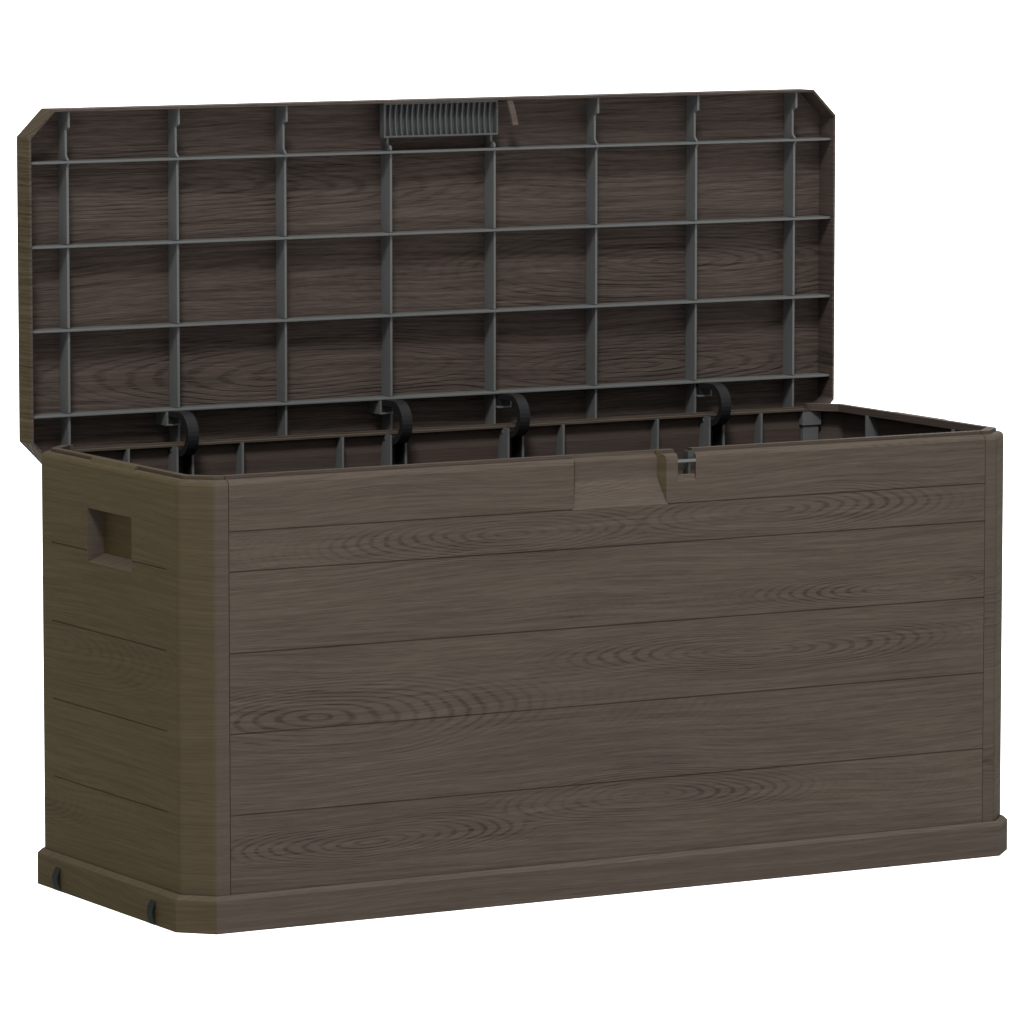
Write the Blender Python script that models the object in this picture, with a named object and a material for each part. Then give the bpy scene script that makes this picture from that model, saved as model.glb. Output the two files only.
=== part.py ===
"""Deck storage box: a resin chest of clipped wall panels with a hinged, ribbed lid.

Metres, +Z up, +X to the right seen from the front, +Y to the rear. The origin is the
centre of the underside of the base. The lid stands open at 90 degrees, as modelled.
"""
import math

import bmesh
import bpy
from mathutils import Matrix, Vector

GAP = 0.0003                    # clearance between touching pieces
SKIN = 0.0028                   # wall of the moulded panels
LID_SKIN = 0.0030               # wall of the lid
EMBED = 0.0005                  # how far a joined shape sinks into its neighbour
OVER = 0.002                    # how far a cutter runs past the face it cuts
FAR_OVER = 0.01                 # the same, where the cutter clears a whole edge
ON_TOP = 1e-5                   # tolerance for picking the edges of a top face

# Base tray
BASE_HALF_X = 0.585
BASE_HALF_Y = 0.225
BASE_LEG = 0.0355               # leg of the 45 degree corner cut
BASE_HEIGHT = 0.0438
BASE_BEVEL = 0.0052             # slope from the outer face up to the standing walls
BASE_WALL = 0.0068
FLOOR_THICK = 0.0032

# Standing walls
WALL_HALF_X = 0.5779
WALL_HALF_Y = 0.2179
WALL_LEG = 0.033
CORNER_ROUND = 0.010            # radius of the upright corner edges
CORNER_STEPS = 3
WALL_BOTTOM = FLOOR_THICK + 0.0005
RIM_TOP = 0.5312
RIM_ROUND = 0.0065              # radius of the rim's outer edge
RIM_STEPS = 3
FLANGE_THICK = 0.005
FLANGE_INNER_X = 0.5590
FLANGE_FRONT_Y = -0.1990
FLANGE_REAR_Y = 0.1965
MOUTH_LEG = 0.026
LIP_RISE = 0.0042               # the rim's inner lip stands this far above its shoulder
LIP_INSET = 0.0095
PAD_OUTER = 0.0025              # slope of the raised rim above a hand hold
PAD_DROP = 0.0030
LEDGE_DROP = 0.0025             # the rear rim's inner ledge lies this far below its crest
LEDGE_REAR_Y = 0.2035
CHANNEL_FACE_Y = 0.2103         # outer face of the hinge channel along the rear rim
CHANNEL_Z = 0.5030              # ledge at the foot of the hinge channel
CHANNEL_SKIN = 0.0025
CHANNEL_BEVEL = 0.0045
CHANNEL_SLOPE_Z = 0.4550        # where the wall starts to lean in below the channel
SEAM_X = 0.5275                 # vertical seam between side panels and long panels
SEAM_GAP = 0.0009

# Board grooves
GROOVE_WIDTH = 0.0018
GROOVE_DEPTH = 0.0011
GROOVE_STOP = 0.001             # distance from a groove's end to a recess
BOARD_LINES = (0.1370, 0.2328, 0.3278, 0.4236)
SHORT_BOARD_LINE = 0.4708
SIDE_GROOVE_HALF = 0.156

# Wall stiffening ribs
RIB_THICK = 0.003
RIB_DEEP_Y = 0.1930             # inner edge of the plain ribs
CHEEK_Y = 0.1850                # inner edge of the ribs that carry a hinge
FRONT_RIB_Y = -0.2000
SIDE_RIB_X = 0.5559
LONG_WALL_RIBS = (0.159, 0.299, 0.4556)
SIDE_WALL_RIBS = (0.100,)

# Hand hold in each side panel
HOLD_CENTRE_Y = -0.004
HOLD_HALF_Y = 0.060
HOLD_LOW_Z = 0.4100
HOLD_HIGH_Z = 0.4750
HOLD_DEPTH = 0.022
HOLD_RAMP = 0.009
BACKING = 0.003                 # resin behind a recess

# Finger scoop and padlock opening in the front panel
SCOOP_HALF_X = 0.066
SCOOP_DEPTH = 0.0105
SCOOP_CHAMFER = 0.0045          # slope from the scoop's back up to the rim's lip
SCOOP_SHELF_Z = 0.5030
SCOOP_NARROWING = 0.87          # width of the scoop's back over the width of its mouth
SCOOP_MARGIN = 0.004
LOCK_LOW_X = 0.0806
LOCK_HIGH_X = 0.1062
LOCK_BAR_LOW_Z = 0.5200
LOCK_BAR_HIGH_Z = 0.5235
LOCK_SILL_Z = 0.4965
LOCK_SILL_RISE = 0.0090
STAPLE_LOW_X = 0.0976
STAPLE_HIGH_X = 0.1001
STAPLE_BACK_Y = -0.2020
STAPLE_LOW_Z = 0.4870
STAPLE_HEAD_LOW_X = 0.0972
STAPLE_HEAD_HIGH_X = 0.1056
STAPLE_HEAD_BACK_Y = -0.2070
STAPLE_RISE = 0.0015            # how far its head stands above the shoulder
TONGUE_LOW_X = 0.0865
TONGUE_HIGH_X = 0.0945
TONGUE_CENTRE_Y = 0.3110
TONGUE_CENTRE_DROP = 0.0672     # how far the blade's centre lies below its root
TONGUE_R = 0.1206
TONGUE_START = 146.4            # degrees
TONGUE_END = 162.4
TONGUE_THICK = 0.003

# Lid, given in its open position
HINGE_Y = 0.2005
HINGE_Z = 0.5211
LID_HALF_X = 0.578
LID_LEG = 0.0337
LID_LENGTH = 0.439
LID_LOW_Z = 0.5041
LID_HIGH_Z = LID_LOW_Z + LID_LENGTH
LID_OUTER_Y = 0.2489
LID_SKIRT = 0.038
LID_EDGE_Y = LID_OUTER_Y - LID_SKIRT
LID_BEVEL = 0.003
LID_BOARDS = 5
LID_BACK_Y = LID_OUTER_Y - LID_SKIN - GAP   # plane that the parts in the lid lie on

# Ribs under the lid, halved into each other where they cross
CROSS_RIB_PITCH = 0.149
CROSS_RIBS = 8
CROSS_RIB_Y = 0.2216
LONG_RIB_Y = 0.2165
LONG_RIB_LINES = (0.5690, 0.6730, 0.7755, 0.8780)
STEP_Y = 0.2254                 # cross ribs are set back to here in the front row
STEP_Z = 0.9200
STEP_SLOPE = 0.003
LAP_Y = 0.2335                  # where the halved cross ribs and long ribs meet
FLARE = 0.0055
STUB_R = 0.0045                 # rounded end of a rib that passes behind the comb
STUB_BACK_Z = 0.8860
STUB_HIGH_Z = 0.9231

# Grip comb under the front of the lid
COMB_CENTRE_X = -0.0039
COMB_HALF_X = 0.0818
COMB_FRONT_Y = 0.219
COMB_BACK_Y = 0.230
COMB_LOW_Z = 0.8965
COMB_FRAME = 0.0022
COMB_FINS = 19
FIN_THICK = 0.0018
FIN_SCOOP = 0.0032
FIN_SET_BACK = 0.0004
FIN_STEPS = 8

# Hinges
HINGE_CENTRES = (-0.3825, -0.0845, 0.0845, 0.3825)
ARM_HALF_WIDTH = 0.0073
ARM_BEND_Y = 0.1885
ARM_BEND_Z = 0.5420
ARM_OUTER_R = 0.0275
ARM_INNER_R = 0.0195
ARM_BLOCK_Y = 0.2150
ARM_BLOCK_LOW_Z = 0.5530
ARM_BLOCK_HIGH_Z = 0.5665
ARM_BLOCK_GAP = 0.001
ARM_NECK_STEP = 0.001
EYE_R = 0.0048
BORE_R = 0.0032
PIN_R = 0.0028
PIN_HALF = 0.0126
BRACKET_INNER = 0.0080
BRACKET_OUTER = 0.0090
BRACKET_FRONT_Y = 0.1860
BRACKET_BACK_Y = 0.2070
BRACKET_LOW_Z = 0.4720
BRACKET_FLOOR = 0.0015
CHEEK_INNER = 0.0093
CHEEK_THICK = 0.0028
CRADLE_Y = 0.2140               # front edge of the cradle that holds an arm's block
CRADLE_SHELF_LOW_Z = 0.5500
CRADLE_SHELF_HIGH_Z = 0.5524
CRADLE_INNER = 0.0080
CRADLE_OUTER = 0.0105
CRADLE_REACH = 0.0200           # farthest that a cradle lies from its cross rib
ROUND_SIDES = 24

# Corner posts and base clips
POST_LOW_X = 0.5240
POST_HIGH_X = 0.5475
POST_INNER_Y = 0.2000
POST_OUTER_Y = 0.2072
POST_HEAD = 0.0025
POST_HEAD_Z = 0.5070
CLIP_Y = 0.130
CLIP_HALF_Y = 0.007
CLIP_LOW_Z = 0.0005
CLIP_HIGH_Z = 0.029
CLIP_BULGE = 0.0052
CLIP_THICK = 0.0018
CLIP_STEPS = 10
STEM_HALF_Y = 0.004
STEM_LOW_Z = 0.0085
STEM_HIGH_Z = 0.0195

BROWN = (0.105, 0.090, 0.072, 1.0)
DARK_BROWN = (0.085, 0.070, 0.060, 1.0)
GREY = (0.105, 0.115, 0.118, 1.0)
BLACK = (0.012, 0.012, 0.014, 1.0)
STEEL = (0.45, 0.45, 0.46, 1.0)


def clear_scene():
    for obj in list(bpy.data.objects):
        bpy.data.objects.remove(obj, do_unlink=True)


def new_collection(name):
    collection = bpy.data.collections.new(name)
    bpy.context.scene.collection.children.link(collection)
    return collection


def material(name, colour, roughness, metallic=0.0):
    mat = bpy.data.materials.new(name)
    mat.use_nodes = True
    shader = mat.node_tree.nodes["Principled BSDF"]
    shader.inputs["Base Color"].default_value = colour
    shader.inputs["Roughness"].default_value = roughness
    shader.inputs["Metallic"].default_value = metallic
    return mat


def object_from(name, mesh, collection):
    obj = bpy.data.objects.new(name, mesh)
    collection.objects.link(obj)
    return obj


def finish_node(obj, mat):
    """Give a node its own material and mark it as part of the model."""
    obj.data.materials.clear()
    obj.data.materials.append(mat)
    return obj


def cutter(obj):
    obj.hide_render = True
    obj.display_type = "WIRE"
    return obj


def boxes(name, spans, collection):
    """One mesh of separate boxes, each given by its lowest and highest corner."""
    bm = bmesh.new()
    for low, high in spans:
        centre = (Vector(low) + Vector(high)) / 2
        size = Vector(high) - Vector(low)
        place = Matrix.Translation(centre) @ Matrix.Diagonal((*size, 1.0))
        bmesh.ops.create_cube(bm, size=1.0, matrix=place)
    mesh = bpy.data.meshes.new(name)
    bm.to_mesh(mesh)
    bm.free()
    return object_from(name, mesh, collection)


def flat_outline(name, points, thickness, collection):
    """A flat outline in local XY, extruded by thickness about local Z = 0."""
    curve = bpy.data.curves.new(name + "_outline", "CURVE")
    curve.dimensions = "2D"
    curve.fill_mode = "BOTH"
    curve.extrude = thickness / 2
    spline = curve.splines.new("POLY")
    spline.points.add(len(points) - 1)
    for spot, (u, v) in zip(spline.points, points):
        spot.co = (u, v, 0.0, 1.0)
    spline.use_cyclic_u = True
    source = bpy.data.objects.new(name + "_source", curve)
    collection.objects.link(source)
    graph = bpy.context.evaluated_depsgraph_get()
    mesh = bpy.data.meshes.new_from_object(source.evaluated_get(graph))
    bpy.data.objects.remove(source)
    bm = bmesh.new()
    bm.from_mesh(mesh)
    bmesh.ops.remove_doubles(bm, verts=bm.verts, dist=1e-6)
    bmesh.ops.recalc_face_normals(bm, faces=bm.faces)
    bm.to_mesh(mesh)
    bm.free()
    mesh.name = name
    return mesh


def upright(name, points, low_z, high_z, collection):
    """A plan outline of (x, y) points, standing from low_z to high_z."""
    mesh = flat_outline(name, points, high_z - low_z, collection)
    mesh.transform(Matrix.Translation((0, 0, (low_z + high_z) / 2)))
    return object_from(name, mesh, collection)


def across(name, points, low_x, high_x, collection):
    """A section of (y, z) points, run along X from low_x to high_x."""
    mesh = flat_outline(name, points, high_x - low_x, collection)
    turn = Matrix(((0, 0, 1, (low_x + high_x) / 2), (1, 0, 0, 0), (0, 1, 0, 0), (0, 0, 0, 1)))
    mesh.transform(turn)
    return object_from(name, mesh, collection)


def along(name, points, low_y, high_y, collection):
    """A section of (x, z) points, run along Y from low_y to high_y."""
    mesh = flat_outline(name, points, high_y - low_y, collection)
    turn = Matrix(((1, 0, 0, 0), (0, 0, 1, (low_y + high_y) / 2), (0, 1, 0, 0), (0, 0, 0, 1)))
    mesh.transform(turn)
    mesh.flip_normals()
    return object_from(name, mesh, collection)


def joined(name, pieces, collection):
    """Several objects that don't touch, as one mesh."""
    bm = bmesh.new()
    for piece in pieces:
        bm.from_mesh(piece.data)
        bpy.data.objects.remove(piece)
    mesh = bpy.data.meshes.new(name)
    bm.to_mesh(mesh)
    bm.free()
    return object_from(name, mesh, collection)


def boolean(target, tool, operation):
    modifier = target.modifiers.new(tool.name, "BOOLEAN")
    modifier.operation = operation
    modifier.solver = "EXACT"
    modifier.object = cutter(tool)
    tool.parent = target


def cut(target, tool):
    boolean(target, tool, "DIFFERENCE")


def add(target, tool):
    boolean(target, tool, "UNION")


def octagon(half_x, low_y, high_y, leg):
    """A rectangle in plan with its four corners cut at 45 degrees."""
    return [
        (-half_x, low_y + leg), (-half_x + leg, low_y), (half_x - leg, low_y),
        (half_x, low_y + leg), (half_x, high_y - leg), (half_x - leg, high_y),
        (-half_x + leg, high_y), (-half_x, high_y - leg),
    ]


def inset_leg(leg, inset):
    """The corner cut's leg once its outline has moved inwards by inset."""
    return leg - inset * (2 - math.sqrt(2))


def inset_octagon(half_x, half_y, leg, inset):
    """The same kind of outline, moved inwards by inset."""
    return octagon(half_x - inset, -half_y + inset, half_y - inset, inset_leg(leg, inset))


def rounded(points, radius, steps):
    """An anticlockwise outline with each corner replaced by an arc."""
    result = []
    for index, point in enumerate(points):
        corner = Vector(point)
        before = (corner - Vector(points[index - 1])).normalized()
        after = (Vector(points[(index + 1) % len(points)]) - corner).normalized()
        heading = math.atan2(before.y, before.x)
        turn = (math.atan2(after.y, after.x) - heading) % (2 * math.pi)
        start = corner - before * radius * math.tan(turn / 2)
        centre_x = start.x - radius * math.sin(heading)
        centre_y = start.y + radius * math.cos(heading)
        for step in range(steps + 1):
            angle = heading + turn * step / steps
            result.append((centre_x + radius * math.sin(angle), centre_y - radius * math.cos(angle)))
    return result


def bevel_edges(obj, width, choose, segments=1):
    """Bevel the edges whose two ends both satisfy choose(co)."""
    bm = bmesh.new()
    bm.from_mesh(obj.data)
    bmesh.ops.dissolve_limit(bm, angle_limit=0.01, verts=bm.verts, edges=bm.edges)
    edges = [e for e in bm.edges if choose(e.verts[0].co) and choose(e.verts[1].co)]
    bmesh.ops.bevel(bm, geom=edges, offset=width, segments=segments, profile=0.5, affect="EDGES")
    bm.to_mesh(obj.data)
    bm.free()


def arc(centre_u, centre_v, radius, start, end, steps):
    """Points on an arc, angles in degrees."""
    result = []
    for step in range(steps + 1):
        angle = math.radians(start + (end - start) * step / steps)
        result.append((centre_u + radius * math.cos(angle), centre_v + radius * math.sin(angle)))
    return result


def x_cylinders(name, centres, radius, half_length, collection):
    """Cylinders on the hinge axis, one at each x in centres."""
    bm = bmesh.new()
    for x in centres:
        place = Matrix.Translation((x, HINGE_Y, HINGE_Z)) @ Matrix.Rotation(math.pi / 2, 4, "Y")
        bmesh.ops.create_cone(
            bm, cap_ends=True, segments=ROUND_SIDES, radius1=radius, radius2=radius,
            depth=2 * half_length, matrix=place)
    mesh = bpy.data.meshes.new(name)
    bm.to_mesh(mesh)
    bm.free()
    return object_from(name, mesh, collection)


def build_base(parts, tools, mat):
    outline = octagon(BASE_HALF_X, -BASE_HALF_Y, BASE_HALF_Y, BASE_LEG)
    tray = upright("base_tray", outline, 0.0, BASE_HEIGHT, parts)
    bevel_edges(tray, BASE_BEVEL, lambda co: co.z > BASE_HEIGHT - ON_TOP)
    inside = inset_octagon(BASE_HALF_X, BASE_HALF_Y, BASE_LEG, BASE_WALL)
    cut(tray, upright("base_hollow", inside, FLOOR_THICK, BASE_HEIGHT + FAR_OVER, tools))
    windows = []
    for side in (-1, 1):
        xs = sorted((side * (BASE_HALF_X - BASE_WALL - OVER), side * (BASE_HALF_X + OVER)))
        for y in (-CLIP_Y, CLIP_Y):
            windows.append(((xs[0], y - STEM_HALF_Y - GAP, STEM_LOW_Z - GAP),
                            (xs[1], y + STEM_HALF_Y + GAP, STEM_HIGH_Z + GAP)))
    cut(tray, boxes("clip_windows", windows, tools))
    return finish_node(tray, mat)


def channel_cutter(name, tools):
    """Clears the hinge channel along the rear rim, up to a bevelled top edge."""
    face = CHANNEL_FACE_Y
    outside = WALL_HALF_Y + FAR_OVER
    above = RIM_TOP + FAR_OVER
    section = [(face, CHANNEL_Z), (outside, CHANNEL_Z), (outside, above),
               (face - CHANNEL_BEVEL - FAR_OVER, above), (face, RIM_TOP - CHANNEL_BEVEL)]
    return across(name, section, -WALL_HALF_X, WALL_HALF_X, tools)


def rear_ledge_cutter(tools):
    """Lowers the inner ledge of the rear rim."""
    return boxes("rear_ledge", [((-SEAM_X - OVER, 0.0, RIM_TOP - LEDGE_DROP),
                                 (SEAM_X + OVER, LEDGE_REAR_Y, RIM_TOP + FAR_OVER))], tools)


def add_lip(shell, name, tools):
    """Raises the rim's inner lip, and the whole rim above each hand hold."""
    leg = inset_leg(WALL_LEG, LIP_INSET)
    outline = octagon(WALL_HALF_X - LIP_INSET, -WALL_HALF_Y + LIP_INSET, LEDGE_REAR_Y, leg)
    lip_top = RIM_TOP + LIP_RISE
    add(shell, upright(name, outline, RIM_TOP - EMBED, lip_top, tools))
    pad = [(FLANGE_INNER_X - OVER, RIM_TOP - PAD_DROP), (WALL_HALF_X - PAD_OUTER, RIM_TOP - PAD_DROP),
           (WALL_HALF_X - RIM_ROUND, lip_top), (FLANGE_INNER_X - OVER, lip_top)]
    for side in (-1, 1):
        section = [(side * x, z) for x, z in pad]
        add(shell, along(name + "_pad", section, HOLD_CENTRE_Y - HOLD_HALF_Y,
                         HOLD_CENTRE_Y + HOLD_HALF_Y, tools))


def wall_shell(name, keep, parts, tools, has_lip=True):
    """The part of the standing wall ring that lies inside the box keep."""
    outer = octagon(WALL_HALF_X, -WALL_HALF_Y, WALL_HALF_Y, WALL_LEG)
    shell = upright(name, rounded(outer, CORNER_ROUND, CORNER_STEPS), WALL_BOTTOM, RIM_TOP, parts)
    bevel_edges(shell, RIM_ROUND, lambda co: co.z > RIM_TOP - ON_TOP, RIM_STEPS)
    cut(shell, channel_cutter(name + "_channel", tools))
    inner = inset_octagon(WALL_HALF_X, WALL_HALF_Y, WALL_LEG, SKIN)
    under_flange = RIM_TOP - FLANGE_THICK
    hollow = upright(name + "_hollow", inner, WALL_BOTTOM - FAR_OVER, under_flange, tools)
    channel_y = CHANNEL_FACE_Y - CHANNEL_SKIN
    above = RIM_TOP + FAR_OVER
    channel_wall = [(channel_y, CHANNEL_Z), (WALL_HALF_Y - SKIN, CHANNEL_SLOPE_Z),
                    (BASE_HALF_Y, CHANNEL_SLOPE_Z), (BASE_HALF_Y, above), (channel_y, above)]
    cut(hollow, across(name + "_channel_wall", channel_wall, -BASE_HALF_X, BASE_HALF_X, tools))
    cut(shell, hollow)
    if has_lip:
        add_lip(shell, name + "_lip", tools)
    else:
        cut(shell, rear_ledge_cutter(tools))
    mouth = octagon(FLANGE_INNER_X, FLANGE_FRONT_Y, FLANGE_REAR_Y, MOUTH_LEG)
    cut(shell, upright(name + "_mouth", mouth, under_flange - FAR_OVER, RIM_TOP + FAR_OVER, tools))
    boolean(shell, boxes(name + "_extent", [keep], tools), "INTERSECT")
    return shell


def rear_rib_outline(edge_y):
    channel_y = CHANNEL_FACE_Y - CHANNEL_SKIN + EMBED
    wall_y = WALL_HALF_Y - SKIN + EMBED
    flange_z = RIM_TOP - FLANGE_THICK + EMBED
    return [(edge_y, WALL_BOTTOM), (wall_y, WALL_BOTTOM), (wall_y, CHANNEL_SLOPE_Z),
            (channel_y, CHANNEL_Z), (channel_y, flange_z), (edge_y, flange_z)]


def grooves(name, wall_y, lines, tools):
    """Square grooves along X, sunk into a long wall's outer face."""
    side = math.copysign(1.0, wall_y)
    spans = []
    faces = sorted((wall_y - side * GROOVE_DEPTH, wall_y + side * OVER))
    for z in lines:
        spans.append(((-SEAM_X - OVER, faces[0], z - GROOVE_WIDTH / 2),
                      (SEAM_X + OVER, faces[1], z + GROOVE_WIDTH / 2)))
    return boxes(name, spans, tools)


def build_rear(parts, tools, mat):
    reach = SEAM_X - SEAM_GAP / 2
    keep = ((-reach, 0.0, -FAR_OVER), (reach, BASE_HALF_Y, RIM_TOP + FAR_OVER))
    rear = wall_shell("rear_panel", keep, parts, tools, has_lip=False)
    ribs = []
    for x in LONG_WALL_RIBS:
        for side in (-1, 1):
            middle = side * x
            ribs.append(across("rib", rear_rib_outline(RIB_DEEP_Y), middle - RIB_THICK / 2,
                               middle + RIB_THICK / 2, tools))
    for x in HINGE_CENTRES:
        for side in (-1, 1):
            ends = sorted((x + side * CHEEK_INNER, x + side * (CHEEK_INNER + CHEEK_THICK)))
            ribs.append(across("cheek", rear_rib_outline(CHEEK_Y), ends[0], ends[1], tools))
    cut(rear, grooves("rear_grooves", WALL_HALF_Y, BOARD_LINES, tools))
    add(rear, joined("rear_ribs", ribs, tools))
    bore_half = CHEEK_INNER + CHEEK_THICK + OVER
    cut(rear, x_cylinders("rear_pin_bores", HINGE_CENTRES, BORE_R, bore_half, tools))
    return finish_node(rear, mat)


def scoop_cutter(tools):
    """The finger scoop: a ramp that sinks to an upright back face, open up to the rim."""
    face = -WALL_HALF_Y
    back = face + SCOOP_DEPTH
    above = RIM_TOP + LIP_RISE + OVER
    section = [(face - OVER, SHORT_BOARD_LINE - OVER), (face, SHORT_BOARD_LINE),
               (back, SCOOP_SHELF_Z), (back, RIM_TOP - SCOOP_CHAMFER),
               (back + SCOOP_CHAMFER, RIM_TOP), (back + SCOOP_CHAMFER, above), (face - OVER, above)]
    tool = across("scoop", section, -SCOOP_HALF_X, SCOOP_HALF_X, tools)
    for vert in tool.data.vertices:
        if vert.co.y > face + SCOOP_DEPTH / 2:
            vert.co.x *= SCOOP_NARROWING
    return tool


def front_backing(tools):
    """The finger scoop's backing and the ribs inside the front panel."""
    skin_y = -WALL_HALF_Y + SKIN - EMBED
    flange_z = RIM_TOP - FLANGE_THICK + EMBED
    spans = [((-SCOOP_HALF_X - SCOOP_MARGIN, skin_y, SHORT_BOARD_LINE - SCOOP_MARGIN),
              (SCOOP_HALF_X + SCOOP_MARGIN, -WALL_HALF_Y + SCOOP_DEPTH + BACKING, flange_z))]
    for x in LONG_WALL_RIBS:
        for side in (-1, 1):
            spans.append(((side * x - RIB_THICK / 2, skin_y, WALL_BOTTOM),
                          (side * x + RIB_THICK / 2, FRONT_RIB_Y, flange_z)))
    return boxes("front_backing", spans, tools)


def lock_cutters(tools):
    """The notch in the rim and the window below it, which leave a bar between them."""
    face = -WALL_HALF_Y
    outside = face - OVER
    inside = face + SKIN + OVER
    notch = boxes("lock_notch", [((LOCK_LOW_X, outside, LOCK_BAR_HIGH_Z),
                                  (LOCK_HIGH_X, FLANGE_FRONT_Y + OVER, RIM_TOP + LIP_RISE + OVER))], tools)
    sill_top = LOCK_SILL_Z + LOCK_SILL_RISE
    sill = [(outside, LOCK_SILL_Z), (face, LOCK_SILL_Z), (face + SKIN, sill_top), (inside, sill_top),
            (inside, LOCK_BAR_LOW_Z), (outside, LOCK_BAR_LOW_Z)]
    return notch, across("lock_window", sill, LOCK_LOW_X, LOCK_HIGH_X, tools)


def build_front(parts, tools, mat):
    reach = SEAM_X - SEAM_GAP / 2
    keep = ((-reach, -BASE_HALF_Y, -FAR_OVER), (reach, 0.0, RIM_TOP + FAR_OVER))
    front = wall_shell("front_panel", keep, parts, tools)
    add(front, front_backing(tools))
    cut(front, scoop_cutter(tools))
    for tool in lock_cutters(tools):
        cut(front, tool)
    cut(front, grooves("front_grooves", -WALL_HALF_Y, BOARD_LINES, tools))
    stop = SCOOP_HALF_X + GROOVE_STOP
    end = SEAM_X + OVER
    short_lines = []
    for low_x, high_x in ((-end, -stop), (stop, end)):
        short_lines.append(((low_x, -WALL_HALF_Y - OVER, SHORT_BOARD_LINE - GROOVE_WIDTH / 2),
                            (high_x, -WALL_HALF_Y + GROOVE_DEPTH, SHORT_BOARD_LINE + GROOVE_WIDTH / 2)))
    cut(front, boxes("front_short_lines", short_lines, tools))
    return finish_node(front, mat)


def mirrored(spans, side):
    """Boxes given for the right-hand side, moved to the side asked for."""
    result = []
    for low, high in spans:
        xs = sorted((side * low[0], side * high[0]))
        result.append(((xs[0], low[1], low[2]), (xs[1], high[1], high[2])))
    return result


def side_backing(name, side, tools):
    """The hand hold's backing and the ribs inside a side panel."""
    skin_x = WALL_HALF_X - SKIN + EMBED
    flange_z = RIM_TOP - FLANGE_THICK + EMBED
    half_y = HOLD_HALF_Y + BACKING
    spans = [((WALL_HALF_X - HOLD_DEPTH - BACKING, HOLD_CENTRE_Y - half_y, HOLD_LOW_Z - BACKING),
              (skin_x, HOLD_CENTRE_Y + half_y, HOLD_HIGH_Z + BACKING))]
    for y in SIDE_WALL_RIBS:
        for half in (-1, 1):
            spans.append(((SIDE_RIB_X, half * y - RIB_THICK / 2, WALL_BOTTOM),
                          (skin_x, half * y + RIB_THICK / 2, flange_z)))
    return boxes(name, mirrored(spans, side), tools)


def hold_cutter(name, side, tools):
    """The hand hold: upright ends, a flat ceiling and a floor that rises inwards."""
    outside = WALL_HALF_X + OVER
    back_x = WALL_HALF_X - HOLD_DEPTH
    section = [(outside, HOLD_LOW_Z), (WALL_HALF_X, HOLD_LOW_Z), (back_x, HOLD_LOW_Z + HOLD_RAMP),
               (back_x, HOLD_HIGH_Z), (outside, HOLD_HIGH_Z)]
    section = [(side * x, z) for x, z in section]
    return along(name, section, HOLD_CENTRE_Y - HOLD_HALF_Y, HOLD_CENTRE_Y + HOLD_HALF_Y, tools)


def side_grooves(name, side, tools):
    """Board grooves in a side panel's flat, stopped short of the hand hold."""
    low_y = HOLD_CENTRE_Y - HOLD_HALF_Y - GROOVE_STOP
    high_y = HOLD_CENTRE_Y + HOLD_HALF_Y + GROOVE_STOP
    spans = []
    for z in BOARD_LINES:
        runs = ((-SIDE_GROOVE_HALF, SIDE_GROOVE_HALF),)
        if HOLD_LOW_Z < z < HOLD_HIGH_Z:
            runs = ((-SIDE_GROOVE_HALF, low_y), (high_y, SIDE_GROOVE_HALF))
        for run in runs:
            spans.append(((WALL_HALF_X - GROOVE_DEPTH, run[0], z - GROOVE_WIDTH / 2),
                          (WALL_HALF_X + OVER, run[1], z + GROOVE_WIDTH / 2)))
    return boxes(name, mirrored(spans, side), tools)


def build_side(name, side, parts, tools, mat):
    xs = sorted((side * (SEAM_X + SEAM_GAP / 2), side * BASE_HALF_X))
    keep = ((xs[0], -BASE_HALF_Y, -FAR_OVER), (xs[1], BASE_HALF_Y, RIM_TOP + FAR_OVER))
    panel = wall_shell(name, keep, parts, tools)
    add(panel, side_backing(name + "_backing", side, tools))
    cut(panel, hold_cutter(name + "_hold", side, tools))
    cut(panel, side_grooves(name + "_grooves", side, tools))
    return finish_node(panel, mat)


def build_posts(parts, tools, mat):
    """A connector column behind each vertical seam, with a wider head under the rim."""
    head_top = RIM_TOP - FLANGE_THICK - GAP
    for across_name, side_x in (("left", -1), ("right", 1)):
        for depth_name, side_y in (("front", -1), ("rear", 1)):
            spans = []
            for grow, low_z, high_z in ((0.0, WALL_BOTTOM, POST_HEAD_Z + EMBED),
                                        (POST_HEAD, POST_HEAD_Z, head_top)):
                xs = sorted((side_x * (POST_LOW_X - grow), side_x * (POST_HIGH_X + grow)))
                ys = sorted((side_y * (POST_INNER_Y - grow), side_y * POST_OUTER_Y))
                spans.append(((xs[0], ys[0], low_z), (xs[1], ys[1], high_z)))
            name = "corner_post_" + depth_name + "_" + across_name
            column = boxes(name, spans[:1], parts)
            add(column, boxes(name + "_head", spans[1:], tools))
            finish_node(column, mat)


def clip_bow(side, lift, low_z, high_z):
    """Points (x, z) of a bow that stands off the plinth by lift at its middle."""
    foot = BASE_HALF_X + GAP
    points = []
    for step in range(CLIP_STEPS + 1):
        part_way = step / CLIP_STEPS
        points.append((side * (foot + lift * math.sin(math.pi * part_way)),
                       low_z + (high_z - low_z) * part_way))
    return points


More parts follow.
